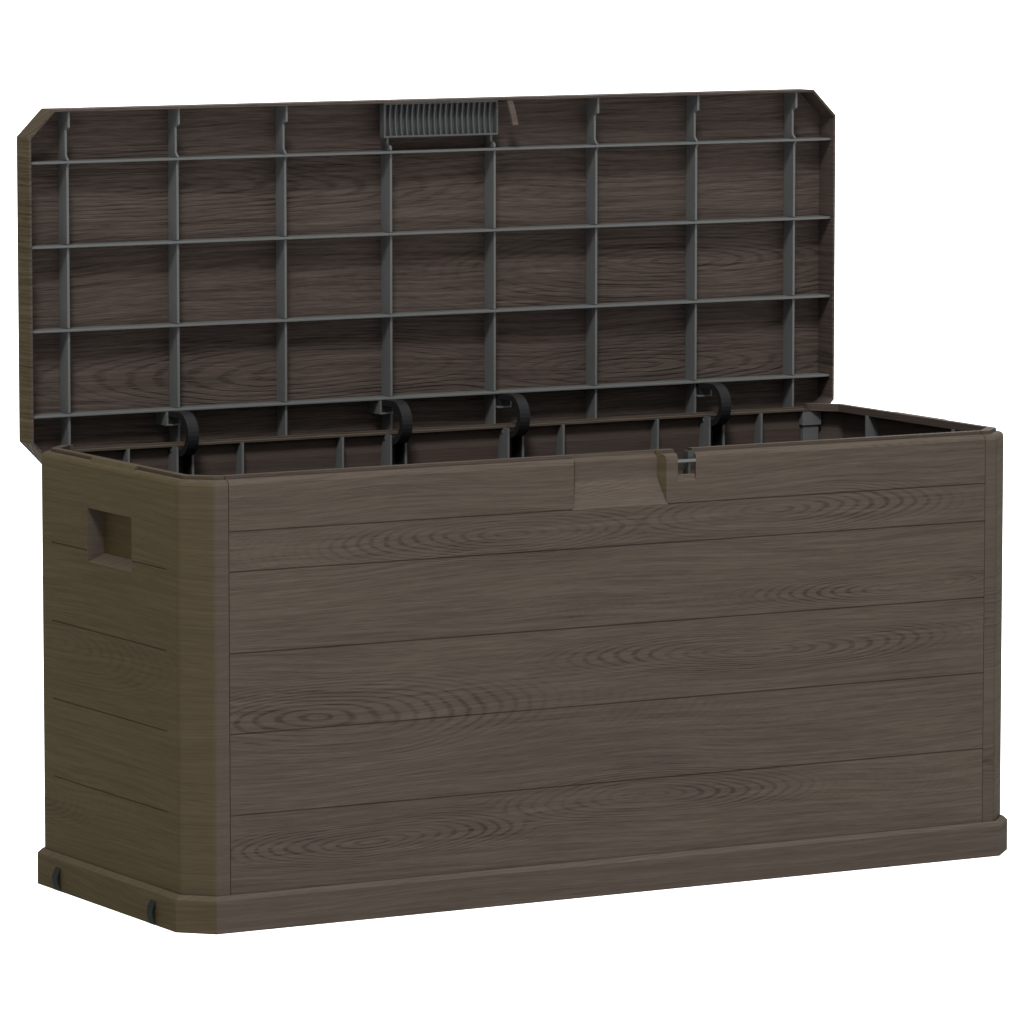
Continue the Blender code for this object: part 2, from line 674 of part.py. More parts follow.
def build_clips(parts, tools, mat):
    """Bowed spring clips that lock the side panels into the base tray."""
    for across_name, side in (("left", -1), ("right", 1)):
        outer = clip_bow(side, CLIP_BULGE, CLIP_LOW_Z, CLIP_HIGH_Z)
        inner = clip_bow(side, CLIP_BULGE - CLIP_THICK, CLIP_LOW_Z + CLIP_THICK, CLIP_HIGH_Z - CLIP_THICK)
        stem = [((BASE_HALF_X - BASE_WALL + EMBED, 0.0, STEM_LOW_Z),
                 (BASE_HALF_X + CLIP_BULGE - CLIP_THICK, 0.0, STEM_HIGH_Z))]
        for depth_name, y in (("front", -CLIP_Y), ("rear", CLIP_Y)):
            name = "base_clip_" + depth_name + "_" + across_name
            clip = along(name, outer + inner[::-1], y - CLIP_HALF_Y, y + CLIP_HALF_Y, parts)
            low, high = mirrored(stem, side)[0]
            span = ((low[0], y - STEM_HALF_Y, low[2]), (high[0], y + STEM_HALF_Y, high[2]))
            add(clip, boxes(name + "_stem", [span], tools))
            finish_node(clip, mat)


def lid_outline(inset):
    points = inset_octagon(LID_HALF_X, LID_LENGTH / 2, LID_LEG, inset)
    middle = (LID_LOW_Z + LID_HIGH_Z) / 2
    return [(x, z + middle) for x, z in points]


def build_lid_panel(parts, tools, mat):
    panel = along("lid_panel", lid_outline(0.0), LID_EDGE_Y, LID_OUTER_Y, parts)
    bevel_edges(panel, LID_BEVEL, lambda co: co.y > LID_OUTER_Y - ON_TOP)
    inside = lid_outline(LID_SKIN)
    cut(panel, along("lid_hollow", inside, LID_EDGE_Y - FAR_OVER, LID_OUTER_Y - LID_SKIN, tools))
    half = LID_HALF_X - LID_LEG
    spans = []
    for line in range(1, LID_BOARDS):
        z = LID_LOW_Z + LID_LENGTH * line / LID_BOARDS
        spans.append(((-half, LID_OUTER_Y - GROOVE_DEPTH, z - GROOVE_WIDTH / 2),
                      (half, LID_OUTER_Y + OVER, z + GROOVE_WIDTH / 2)))
    cut(panel, boxes("lid_grooves", spans, tools))
    return finish_node(panel, mat)


def cross_rib_outline(low_z, high_z):
    """Side view of a cross rib: flared at the front long rib, set back beyond it."""
    front_rib = LONG_RIB_LINES[-1]
    end_y = LONG_RIB_Y + EMBED
    return [(LID_BACK_Y, low_z), (CROSS_RIB_Y, low_z), (CROSS_RIB_Y, front_rib - FLARE),
            (LONG_RIB_Y, front_rib), (STEP_Y, front_rib + FLARE * 1.5), (STEP_Y, STEP_Z - STEP_SLOPE),
            (end_y, STEP_Z), (end_y, high_z), (LID_BACK_Y, high_z)]


def short_rib_outline(low_z):
    """Side view of a cross rib that passes behind the grip comb."""
    front_rib = LONG_RIB_LINES[-1]
    behind = COMB_BACK_Y + GAP
    stub = arc(CROSS_RIB_Y + STUB_R, front_rib + STUB_R, STUB_R, 180, 90, 4)
    return ([(LID_BACK_Y, low_z), (CROSS_RIB_Y, low_z)] + stub
            + [(behind, STUB_BACK_Z), (behind, STUB_HIGH_Z), (LID_BACK_Y, STUB_HIGH_Z)])


def cradle(x, tools):
    """The shelf and the cheek that hold a hinge arm's block against a cross rib."""
    side = math.copysign(1.0, x)
    xs = sorted((x - side * CHEEK_INNER, x + side * CRADLE_OUTER))
    shelf = boxes("cradle_shelf", [((xs[0], CRADLE_Y, CRADLE_SHELF_LOW_Z),
                                    (xs[1], LID_BACK_Y, CRADLE_SHELF_HIGH_Z))], tools)
    xs = sorted((x + side * CRADLE_INNER, x + side * CRADLE_OUTER))
    top = LONG_RIB_LINES[0] - RIB_THICK / 2 - GAP
    cheek = boxes("cradle_cheek", [((xs[0], CRADLE_Y, CRADLE_SHELF_HIGH_Z - EMBED),
                                    (xs[1], LID_BACK_Y, top))], tools)
    return shelf, cheek


def build_cross_ribs(parts, tools, mat):
    low_z = LID_LOW_Z + LID_SKIN + GAP
    high_z = LID_HIGH_Z - LID_SKIN - GAP
    half = RIB_THICK / 2
    slots = [((-LID_HALF_X, LONG_RIB_Y - OVER, z - half - GAP), (LID_HALF_X, LAP_Y, z + half + GAP))
             for z in LONG_RIB_LINES]
    for index in range(CROSS_RIBS):
        x = (index - (CROSS_RIBS - 1) / 2) * CROSS_RIB_PITCH
        outline = cross_rib_outline(low_z, high_z)
        if abs(x) < COMB_HALF_X:
            outline = short_rib_outline(low_z)
        name = "lid_cross_rib_%d" % (index + 1)
        rib = across(name, outline, x - half, x + half, parts)
        for centre in HINGE_CENTRES:
            if abs(centre - x) < CRADLE_REACH:
                for piece in cradle(centre, tools):
                    add(rib, piece)
        cut(rib, boxes(name + "_slots", slots, tools))
        finish_node(rib, mat)


def build_long_ribs(parts, tools, mat):
    half = RIB_THICK / 2
    reach = LID_HALF_X - LID_SKIN - GAP
    for number, z in enumerate(LONG_RIB_LINES, start=1):
        name = "lid_long_rib_%d" % number
        rib = boxes(name, [((-reach, LONG_RIB_Y, z - half), (reach, LID_BACK_Y, z + half))], parts)
        slots = []
        for index in range(CROSS_RIBS):
            x = (index - (CROSS_RIBS - 1) / 2) * CROSS_RIB_PITCH
            slots.append(((x - half - GAP, LAP_Y - GAP, z - FAR_OVER),
                          (x + half + GAP, LID_BACK_Y + OVER, z + FAR_OVER)))
        cut(rib, boxes(name + "_slots", slots, tools))
        finish_node(rib, mat)


def build_comb(parts, tools, mat):
    """A framed row of thin fins, hollowed so that fingers find a hold."""
    high_z = LID_HIGH_Z - LID_SKIN - GAP
    low_x = COMB_CENTRE_X - COMB_HALF_X
    high_x = COMB_CENTRE_X + COMB_HALF_X
    frame = [((low_x, COMB_FRONT_Y, COMB_LOW_Z), (high_x, COMB_BACK_Y, high_z))]
    comb = boxes("lid_grip_comb", frame, parts)
    back = COMB_BACK_Y - COMB_FRAME
    hollow = [((low_x + COMB_FRAME, COMB_FRONT_Y - FAR_OVER, COMB_LOW_Z + COMB_FRAME),
               (high_x - COMB_FRAME, back, high_z - COMB_FRAME))]
    cut(comb, boxes("comb_hollow", hollow, tools))
    low = COMB_LOW_Z + COMB_FRAME / 2
    high = high_z - COMB_FRAME / 2
    middle = (low + high) / 2
    front = []
    for step in range(FIN_STEPS + 1):
        z = low + (high - low) * step / FIN_STEPS
        dip = FIN_SCOOP * (1 - ((z - middle) / (high - middle)) ** 2)
        front.append((COMB_FRONT_Y + FIN_SET_BACK + dip, z))
    outline = front + [(back + EMBED, high), (back + EMBED, low)]
    pitch = 2 * (COMB_HALF_X - COMB_FRAME) / (COMB_FINS + 1)
    fins = []
    for index in range(COMB_FINS):
        x = low_x + COMB_FRAME + pitch * (index + 1)
        fins.append(across("fin", outline, x - FIN_THICK / 2, x + FIN_THICK / 2, tools))
    add(comb, joined("comb_fins", fins, tools))
    return finish_node(comb, mat)


def build_staple(parts, tools, mat):
    """The upright staple inside the front panel, with its head in the rim's notch."""
    face = -WALL_HALF_Y + SKIN + GAP
    top = RIM_TOP + STAPLE_RISE
    staple = boxes("padlock_staple", [((STAPLE_LOW_X, face, STAPLE_LOW_Z),
                                       (STAPLE_HIGH_X, STAPLE_BACK_Y, top))], parts)
    head = [((STAPLE_HEAD_LOW_X, face, LOCK_BAR_HIGH_Z + GAP),
             (STAPLE_HEAD_HIGH_X, STAPLE_HEAD_BACK_Y, top))]
    add(staple, boxes("staple_head", head, tools))
    return finish_node(staple, mat)


def build_tongue(parts, mat):
    """The hook under the lid's front edge: a root along the skirt, then a curved blade."""
    root_z = LID_HIGH_Z - LID_SKIN - GAP
    centre_z = root_z - TONGUE_CENTRE_DROP
    inner_r = TONGUE_R - TONGUE_THICK
    outline = [(LID_BACK_Y, root_z)]
    outline += arc(TONGUE_CENTRE_Y, centre_z, TONGUE_R, TONGUE_START, TONGUE_END, 6)
    outline += arc(TONGUE_CENTRE_Y, centre_z, inner_r, TONGUE_END, TONGUE_START, 6)
    outline += [(LID_BACK_Y, root_z - TONGUE_THICK)]
    return finish_node(across("lid_lock_tongue", outline, TONGUE_LOW_X, TONGUE_HIGH_X, parts), mat)


def arm_outline():
    """Side view of a hinge arm: a block, a C bend round the rim, and an eye."""
    bend_y, bend_z = ARM_BEND_Y, ARM_BEND_Z
    top = bend_z + ARM_OUTER_R
    under = bend_z + ARM_INNER_R
    block_back = LID_BACK_Y - ARM_BLOCK_GAP
    outline = [(block_back, ARM_BLOCK_HIGH_Z), (ARM_BLOCK_Y, ARM_BLOCK_HIGH_Z),
               (ARM_BLOCK_Y, top - ARM_NECK_STEP)]
    outline += arc(bend_y, bend_z, ARM_OUTER_R, 90, 270, 16)
    outline += arc(HINGE_Y, HINGE_Z, EYE_R, 270, 450, 10)
    outline += arc(bend_y, bend_z, ARM_INNER_R, 270, 90, 16)
    outline += [(ARM_BLOCK_Y, under), (ARM_BLOCK_Y, ARM_BLOCK_LOW_Z), (block_back, ARM_BLOCK_LOW_Z)]
    return outline


def bracket_outline():
    """Side view of a bracket plate, inside its cheek."""
    top = RIM_TOP - FLANGE_THICK - GAP
    return [(BRACKET_FRONT_Y, BRACKET_LOW_Z), (BRACKET_BACK_Y, BRACKET_LOW_Z),
            (BRACKET_BACK_Y, top), (BRACKET_FRONT_Y, top)]


def build_arm(number, x, parts, tools, mat):
    name = "hinge_arm_%d" % number
    arm = across(name, arm_outline(), x - ARM_HALF_WIDTH, x + ARM_HALF_WIDTH, parts)
    cut(arm, x_cylinders(name + "_bore", [x], BORE_R, ARM_HALF_WIDTH + OVER, tools))
    return finish_node(arm, mat)


def build_bracket(number, x, parts, tools, mat):
    """The U shaped lining of a hinge slot: two plates and a floor."""
    name = "hinge_bracket_%d" % number
    bracket = across(name, bracket_outline(), x - BRACKET_OUTER, x + BRACKET_OUTER, parts)
    slot = [((x - BRACKET_INNER, BRACKET_FRONT_Y - OVER, BRACKET_LOW_Z + BRACKET_FLOOR),
             (x + BRACKET_INNER, BRACKET_BACK_Y + OVER, RIM_TOP))]
    cut(bracket, boxes(name + "_slot", slot, tools))
    cut(bracket, x_cylinders(name + "_bore", [x], BORE_R, BRACKET_OUTER + OVER, tools))
    return finish_node(bracket, mat)


def build_pin(number, x, parts, mat):
    pin = x_cylinders("hinge_pin_%d" % number, [x], PIN_R, PIN_HALF, parts)
    pin.data.shade_smooth()
    pin.data.set_sharp_from_angle(angle=math.radians(40))
    return finish_node(pin, mat)


def build_hinges(parts, tools, mat_black, mat_steel):
    for number, x in enumerate(HINGE_CENTRES, start=1):
        build_arm(number, x, parts, tools, mat_black)
        build_bracket(number, x, parts, tools, mat_black)
        build_pin(number, x, parts, mat_steel)


def hang_lid(parts):
    """Parents everything that turns with the lid to an empty on the hinge axis."""
    axis = bpy.data.objects.new("lid_hinge_axis", None)
    parts.objects.link(axis)
    axis.location = (0.0, HINGE_Y, HINGE_Z)
    bpy.context.view_layer.update()
    for obj in parts.objects:
        if obj.name.startswith(("lid_panel", "lid_lock", "lid_grip", "lid_cross", "lid_long", "hinge_arm")):
            obj.parent = axis
            obj.matrix_parent_inverse = axis.matrix_world.inverted()


def main():
    clear_scene()
    parts = new_collection("deck_storage_box")
    tools = new_collection("cutters")
    build_base(parts, tools, material("base_resin", BROWN, 0.62))
    build_front(parts, tools, material("front_resin", BROWN, 0.60))
    build_rear(parts, tools, material("rear_resin", BROWN, 0.60))
    build_side("side_panel_left", -1, parts, tools, material("left_resin", BROWN, 0.60))
    build_side("side_panel_right", 1, parts, tools, material("right_resin", BROWN, 0.60))
    build_lid_panel(parts, tools, material("lid_resin", DARK_BROWN, 0.60))
    grey = material("rib_resin", GREY, 0.50)
    build_long_ribs(parts, tools, grey)
    build_cross_ribs(parts, tools, grey)
    build_comb(parts, tools, material("comb_resin", GREY, 0.50))
    build_posts(parts, tools, material("post_resin", GREY, 0.50))
    build_staple(parts, tools, material("staple_resin", GREY, 0.50))
    build_tongue(parts, material("tongue_resin", DARK_BROWN, 0.60))
    build_clips(parts, tools, material("clip_resin", GREY, 0.45))
    build_hinges(parts, tools, material("hinge_resin", BLACK, 0.40), material("pin_steel", STEEL, 0.35, 1.0))
    hang_lid(parts)


main()
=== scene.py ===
"""Looks of the deck storage box: moulded wood grain, smooth grey ribs and black hinges.

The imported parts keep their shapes. This script gives each one a material made of nodes, and
rounds the edges of the ribs, posts, clips and hinge arms. Lengths are in metres in the frame
of the box: +X to the right, +Y to the rear, +Z up, with the lid open.
"""
import math

import bpy
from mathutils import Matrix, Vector


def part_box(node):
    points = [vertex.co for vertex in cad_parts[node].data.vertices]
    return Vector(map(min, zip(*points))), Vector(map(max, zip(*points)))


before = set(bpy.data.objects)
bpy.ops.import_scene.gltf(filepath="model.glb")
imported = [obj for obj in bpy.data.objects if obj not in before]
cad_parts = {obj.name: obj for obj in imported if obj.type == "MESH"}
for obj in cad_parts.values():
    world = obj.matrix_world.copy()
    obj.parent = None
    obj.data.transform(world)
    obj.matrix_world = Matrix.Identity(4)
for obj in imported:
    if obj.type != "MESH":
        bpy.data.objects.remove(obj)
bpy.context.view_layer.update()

# Camera: where it looks from, at the centre of the open box
CAMERA_AZIMUTH = -29.57
CAMERA_ELEVATION = 6.51
CAMERA_DISTANCE = 7.538
CAMERA_LENS = 214.3
CAMERA_SENSOR = 36.0
CAMERA_TARGET = (-0.0118, 0.0252, 0.4410)

# Light: an even white room, a soft key from high on the left in front, a broad light from
# above and a weak fill from behind on the right. Each lamp: name, strength, spread, place.
WORLD_STRENGTH = 1.0
LAMPS = (("key", 5.0, 12.0, (-2.0, -3.0, 4.0)),
         ("overhead", 2.0, 30.0, (0.0, -0.8, 5.0)),
         ("fill", 1.6, 40.0, (3.0, 4.0, 2.5)))
WHITE = (1.0, 1.0, 1.0, 1.0)
FLOOR_SIZE = 400.0
FLOOR_PAPER = (0.93, 0.93, 0.93)
FLOOR_CLOUDS = 0.8              # clouds in the paper, per metre
FLOOR_TONE = 0.985              # tone of the darkest cloud
FLOOR_SPAN = (0.2, 0.8)

# Colours, linear. The long walls are grey brown. End walls and other faces turned to the side take a
# darker olive copy: painted shade, with a warm cast, for how the light falls on them.
LONG_BROWN = (0.0297, 0.0235, 0.0185)
SIDEWAYS_SHADE_BROWN = (0.0203, 0.0153, 0.0065)
# Painted light: a copy of the same resin's colour for the faces inside the box and the lid's inner end
# skirts, set to how the light falls in there.
INSIDE_LIT_BROWN = (0.0320, 0.0240, 0.0200)
LID_BROWN = (0.0320, 0.0245, 0.0207)
RIB_GREY = (0.0470, 0.0490, 0.0475)
COMB_GREY = (0.0290, 0.0300, 0.0295)
STAPLE_GREY = (0.0180, 0.0195, 0.0185)
CLIP_GREY = (0.0060, 0.0068, 0.0060)
HINGE_BLACK = (0.0060, 0.0060, 0.0066)
STEEL_GREY = (0.42, 0.42, 0.43)

# Growth lines: they lie RING_NEAR apart at the heart of a figure and close up outwards
RING_NEAR = 0.0062
RING_CLOSING = 900.0
FIGURE_BLEND = 0.010
FIGURE_REACH = 0.068
FIGURE_REST = 0.25              # share of the lines that is left away from the figures
DRIFT_RISE = 0.036              # how far the lines wander up and down
RIPPLE_TURNS = 1.1              # how unevenly they are spaced

# Fields of noise in the grained resin: marks per metre along x, y and z
DRIFT_FIELD = (2.4, 2.4, 9.0)
RIPPLE_FIELD = (9.0, 9.0, 50.0)
PATCH_FIELD = (4.0, 4.0, 22.0)
BEND_FIELD = (2.0, 2.0, 7.0)
BREAK_FIELD = (14.0, 14.0, 420.0)
STREAK_FIELD = (6.0, 6.0, 300.0)
PORE_FIELD = (34.0, 34.0, 900.0)
CLOUD_FIELD = (2.6, 2.6, 7.0)
BEND_RISE = 0.05                # how far streaks and pores sweep up and down
NOISE_SPAN = (0.3, 0.7)         # where most of a field's values lie
PATCH_SPAN = (0.36, 0.60)
BREAK_SPAN = (0.34, 0.56)

# Tone of the grained resin
LINE_TONE = 0.42
LINE_BALANCE = 0.12             # makes up for the lines' darkening
STREAK_TONE = 0.50
PORE_TONE = 0.36
CLOUD_TONE = 0.14
PATCH_LEAST = 0.35              # share of a growth line that is left where it fades in patches
BREAK_LEAST = 0.30              # the same, where it breaks up into short dashes
UPWARD_HIGHLIGHT_TONE = 0.24              # painted highlight: slopes that face up are paler, as if lit from above
UPWARD_HIGHLIGHT_SPAN = (0.02, 0.30)
SIDE_SHADE_SPAN = (0.15, 1.0)     # where a turned surface takes the painted olive shade
GRAIN_SHEEN = 0.04
GRAIN_ROUGH = (0.86, 0.74)
STREAK_HEIGHT = 0.8
LINE_HEIGHT = -0.8
PORE_HEIGHT = 0.3

# Smooth resin and steel
FLOW_FIELD = (6.0, 6.0, 22.0)
MOTTLE = 45.0                   # patches of roughness, per metre
EGGSHELL = 1400.0               # bumps of the fine surface, per metre
EGGSHELL_DEPTH = 0.00003
ROUGHER = 0.07
SMOOTHER = 0.05
DRAWN_FIELD = (2500.0, 30.0, 30.0)
STEEL_TONE = (0.9, 1.1)
STEEL_ROUGH = (0.28, 0.42)

# Figures in the grain. Each one: where its heart lies along the wall and up it, how long it
# is for its height, and a factor that widens or narrows its lines.
FRONT_FIGURES = ((-0.413, 0.243, 5.2, 1.0), (-0.34, 0.090, 7.0, 1.6), (-0.150, 0.447, 7.0, 1.6),
                 (0.22, 0.452, 7.0, 1.5), (0.20, 0.285, 10.0, 1.9), (0.05, 0.112, 7.0, 1.6),
                 (0.42, 0.350, 9.0, 2.0))
REAR_FIGURES = ((0.20, 0.290, 5.0, 1.0), (-0.35, 0.120, 6.0, 1.0), (-0.25, 0.430, 8.0, 1.2))
SIDE_FIGURES = ((-0.06, 0.300, 6.0, 1.0), (0.12, 0.120, 6.0, 1.2))
LID_FIGURES = ((0.35, 0.720, 6.0, 0.9), (-0.16, 0.605, 9.0, 1.0), (-0.45, 0.840, 9.0, 0.9),
               (0.30, 0.590, 8.0, 1.0))
BASE_FIGURES = ((0.10, -0.15, 8.0, 1.0),)
TONGUE_FIGURES = ((0.0, 0.5, 6.0, 1.0),)
REAR_SHIFT = (3.1, 1.7, 0.4)    # moves a part's noise, so that no two parts look alike
LID_SHIFT = (1.2, 0.0, 2.0)
TONGUE_SHIFT = (0.4, 0.0, 0.9)
BASE_SHIFT = (0.0, 0.0, 1.3)
SIDE_SHIFT_X = 1.3
SIDE_SHIFT_Y = 0.6

# Where the walls' ribs and inner faces lie
INWARD = 0.3                    # how squarely a face looks into the box
RIB_FACING = 0.9                # the same, for a rib's flat faces
SKIN = 0.0020                   # depth of the outer skin
SHOULDER_Z = 0.5312             # outer shoulder of the walls' rim
FLANGE = 0.0052                 # height of the rim's flange
SCOOP_REACH = 0.110
FRONT_RIB_Y = -0.2010
REAR_RIB_Y = 0.1940
SIDE_RIB_X = 0.5565
SIDE_RIB_Y = (0.09, 0.11)
HOLD_Y = (-0.0645, 0.0565)
HOLD_Z = (0.4095, 0.4755)
HOLD_X = 0.5550
NOTCH_BAR_X = (0.081, 0.106)
NOTCH_BAR_Y = -0.2150
NOTCH_BAR_Z = (0.5198, 0.5238)
NOTCH_BAR_FACING = 0.5          # the bar's faces look less far sideways than this
SKIRT_INWARD = 0.02             # normal times x: the inner faces of the lid's end skirts

# Rounded edges
RIB_EDGE = 0.0007
CLIP_EDGE = 0.0004
ARM_EDGE = 0.0012
EDGE_ANGLE = 35.0               # degrees; gentler edges stay as they are
WELD_DISTANCE = 0.00001


class Graph:
    """Short calls that add shader nodes to one material and link them."""

    def __init__(self, name):
        self.material = bpy.data.materials.new(name)
        self.material.use_nodes = True
        self.tree = self.material.node_tree
        self.shader = self.tree.nodes["Principled BSDF"]

    def node(self, kind, **settings):
        made = self.tree.nodes.new(kind)
        for key, value in settings.items():
            setattr(made, key, value)
        return made

    def feed(self, socket, value):
        if isinstance(value, bpy.types.NodeSocket):
            self.tree.links.new(value, socket)
        elif value is not None:
            socket.default_value = value

    def shade(self, name, value):
        self.feed(self.shader.inputs[name], value)

    def math(self, operation, first, second=None, third=None):
        made = self.node("ShaderNodeMath", operation=operation)
        for socket, value in zip(made.inputs, (first, second, third)):
            self.feed(socket, value)
        return made.outputs[0]

    def place(self):
        """A point in the frame of the box."""
        return self.node("ShaderNodeTexCoord").outputs["Object"]

    def normal(self):
        return self.node("ShaderNodeTexCoord").outputs["Normal"]

    def split(self, vector):
        made = self.node("ShaderNodeSeparateXYZ")
        self.feed(made.inputs[0], vector)
        return made.outputs[0], made.outputs[1], made.outputs[2]

    def join(self, x, y, z):
        made = self.node("ShaderNodeCombineXYZ")
        for socket, value in zip(made.inputs, (x, y, z)):
            self.feed(socket, value)
        return made.outputs[0]

    def add(self, first, second):
        made = self.node("ShaderNodeVectorMath", operation="ADD")
        self.feed(made.inputs[0], first)
        self.feed(made.inputs[1], second)
        return made.outputs[0]

    def stretch(self, place, scale, shift=(0.0, 0.0, 0.0)):
        made = self.node("ShaderNodeMapping")
        self.feed(made.inputs["Vector"], place)
        made.inputs["Scale"].default_value = scale
        made.inputs["Location"].default_value = shift
        return made.outputs[0]

    def noise(self, place, scale, detail, roughness=0.5):
        made = self.node("ShaderNodeTexNoise")
        self.feed(made.inputs["Vector"], place)
        made.inputs["Scale"].default_value = scale
        made.inputs["Detail"].default_value = detail
        made.inputs["Roughness"].default_value = roughness
        return made.outputs["Fac"]

    def field(self, place, marks, detail, roughness=0.5):
        """Noise with its own number of marks per metre along x, y and z."""
        return self.noise(self.stretch(place, marks), 1.0, detail, roughness)

    def remap(self, value, low, high, to_low=0.0, to_high=1.0, smooth=True):
        kind = "SMOOTHSTEP" if smooth else "LINEAR"
        made = self.node("ShaderNodeMapRange", interpolation_type=kind)
        for socket, number in zip(made.inputs, (value, low, high, to_low, to_high)):
            self.feed(socket, number)
        return made.outputs[0]

    def mix(self, factor, first, second):
        made = self.node("ShaderNodeMix", data_type="RGBA")
        self.feed(made.inputs[0], factor)
        self.feed(made.inputs[6], (*first, 1.0))
        self.feed(made.inputs[7], (*second, 1.0))
        return made.outputs[2]

    def scaled(self, colour, factor):
        made = self.node("ShaderNodeVectorMath", operation="SCALE")
        self.feed(made.inputs[0], colour)
        self.feed(made.inputs["Scale"], factor)
        return made.outputs[0]

    def bump(self, height, distance):
        made = self.node("ShaderNodeBump")
        self.feed(made.inputs["Height"], height)
        made.inputs["Distance"].default_value = distance
        self.shade("Normal", made.outputs[0])


# ---------------------------------------------------------------- materials

def growth_lines(graph, place, along, height, figures):
    """Dark lines nested round each figure's heart: 1 on a line, fading away from the figures."""
    drift = graph.math("SUBTRACT", graph.field(place, DRIFT_FIELD, 1.0), 0.5)
    height = graph.math("MULTIPLY_ADD", drift, DRIFT_RISE, height)
    nearest = None
    for centre_along, centre_z, ratio, wide in figures:
        side = graph.math("DIVIDE", graph.math("SUBTRACT", along, centre_along), ratio)
        rise = graph.math("SUBTRACT", height, centre_z)
        squares = graph.math("ADD", graph.math("MULTIPLY", side, side), graph.math("MULTIPLY", rise, rise))
        far = graph.math("MULTIPLY", graph.math("SQRT", squares), wide)
        nearest = far if nearest is None else graph.math("SMOOTH_MIN", nearest, far, FIGURE_BLEND)
    closing = graph.math("MULTIPLY", graph.math("MULTIPLY", nearest, nearest), RING_CLOSING)
    count = graph.math("MULTIPLY_ADD", nearest, 1 / RING_NEAR, closing)
    ripple = graph.field(place, RIPPLE_FIELD, 3.0, 0.6)
    count = graph.math("MULTIPLY_ADD", ripple, RIPPLE_TURNS, count)
    wave = graph.math("SINE", graph.math("MULTIPLY", count, math.tau))
    near = graph.remap(nearest, FIGURE_REACH * 0.5, FIGURE_REACH, 1.0, FIGURE_REST)
    return graph.math("MULTIPLY", graph.remap(wave, 0.0, 1.0), near)


def fold_level(graph, normal_z):
    """The point, folded over level faces so that their grain runs on in lines; then x, y and z."""
    x, y, z = graph.split(graph.place())
    level = graph.math("ABSOLUTE", normal_z)
    z = graph.math("MULTIPLY_ADD", y, level, z)
    upright = graph.math("SUBTRACT", 1.0, level)
    return graph.join(x, graph.math("MULTIPLY", y, upright), z), x, y, z


def paint_facing_light(graph, normal, tone, long_colour, sideways_shade_colour):
    """Painted light by where a surface faces: a darker olive painted shade on faces turned to the side, a
    paler painted highlight on slopes that face up.
    """
    upward_highlight = graph.remap(normal[2], *UPWARD_HIGHLIGHT_SPAN, 1.0, 1.0 + UPWARD_HIGHLIGHT_TONE)
    side_shade_share = graph.remap(graph.math("ABSOLUTE", normal[0]), *SIDE_SHADE_SPAN, smooth=False)
    return graph.mix(side_shade_share, long_colour, sideways_shade_colour), graph.math("MULTIPLY", tone, upward_highlight)


def grain(name, long_colour, sideways_shade_colour, figures, axis=(1.0, 0.0), shift=(0.0, 0.0, 0.0), depth=0.0003,
          strength=1.0, figure=1.0):
    """Matt resin with moulded wood grain that runs level round the box.

    axis says how x and y add up to the distance along the wall. strength scales the whole
    grain's tone, and figure that of its growth lines.
    """
    graph = Graph(name)
    normal = graph.split(graph.normal())
    folded, x, y, z = fold_level(graph, normal[2])
    moved = graph.stretch(folded, (1.0, 1.0, 1.0), shift)
    along = graph.math("ADD", graph.math("MULTIPLY", x, axis[0]), graph.math("MULTIPLY", y, axis[1]))
    bend = graph.field(moved, BEND_FIELD, 1.0)
    swept = graph.add(moved, graph.join(None, None, graph.math("MULTIPLY", bend, BEND_RISE)))

    lines = growth_lines(graph, moved, along, z, figures)
    patch = graph.remap(graph.field(moved, PATCH_FIELD, 2.0), *PATCH_SPAN, PATCH_LEAST)
    broken = graph.remap(graph.field(swept, BREAK_FIELD, 2.0, 0.6), *BREAK_SPAN, BREAK_LEAST)
    lines = graph.math("MULTIPLY", graph.math("MULTIPLY", lines, patch), broken)
    streaks = graph.field(swept, STREAK_FIELD, 3.0, 0.65)
    pores = graph.field(swept, PORE_FIELD, 2.0, 0.6)
    cloud = graph.field(moved, CLOUD_FIELD, 3.0)

    dark = LINE_TONE * strength * figure
    tone = graph.math("MULTIPLY_ADD", lines, -dark, 1.0 + LINE_BALANCE * dark)
    for share, marks in ((STREAK_TONE, streaks), (PORE_TONE, pores), (CLOUD_TONE, cloud)):
        centred = graph.math("SUBTRACT", marks, 0.5)
        tone = graph.math("MULTIPLY_ADD", centred, share * 2 * strength, tone)
    colour = long_colour
    # Painted light: with a shade colour given, faces turned to the side take a darker olive painted shade,
    # and slopes that face up a paler painted highlight.
    if sideways_shade_colour is not None:
        colour, tone = paint_facing_light(graph, normal, tone, long_colour, sideways_shade_colour)

    graph.shade("Base Color", graph.scaled(colour, tone))
    graph.shade("Roughness", graph.remap(streaks, *NOISE_SPAN, *GRAIN_ROUGH, smooth=False))
    graph.shade("Specular IOR Level", GRAIN_SHEEN)
    height = graph.math("MULTIPLY_ADD", streaks, STREAK_HEIGHT, graph.math("MULTIPLY", lines, LINE_HEIGHT))
    graph.bump(graph.math("MULTIPLY_ADD", pores, PORE_HEIGHT, height), depth)
    return graph.material


def smooth_resin(name, colour, roughness, speckle=0.10, sheen=0.20):
    """Smooth moulded resin: faint flow marks and a fine eggshell surface."""
    graph = Graph(name)
    place = graph.place()
    flow = graph.field(place, FLOW_FIELD, 3.0)
    tone = graph.math("MULTIPLY_ADD", flow, 2 * speckle, 1.0 - speckle)
    rough_span = (roughness - SMOOTHER, roughness + ROUGHER)
    mottle = graph.remap(graph.noise(place, MOTTLE, 2.0), *NOISE_SPAN, *rough_span, smooth=False)
    graph.shade("Base Color", graph.scaled(colour, tone))
    graph.shade("Roughness", mottle)
    graph.shade("Specular IOR Level", sheen)
    graph.bump(graph.noise(place, EGGSHELL, 1.0), EGGSHELL_DEPTH)
    return graph.material


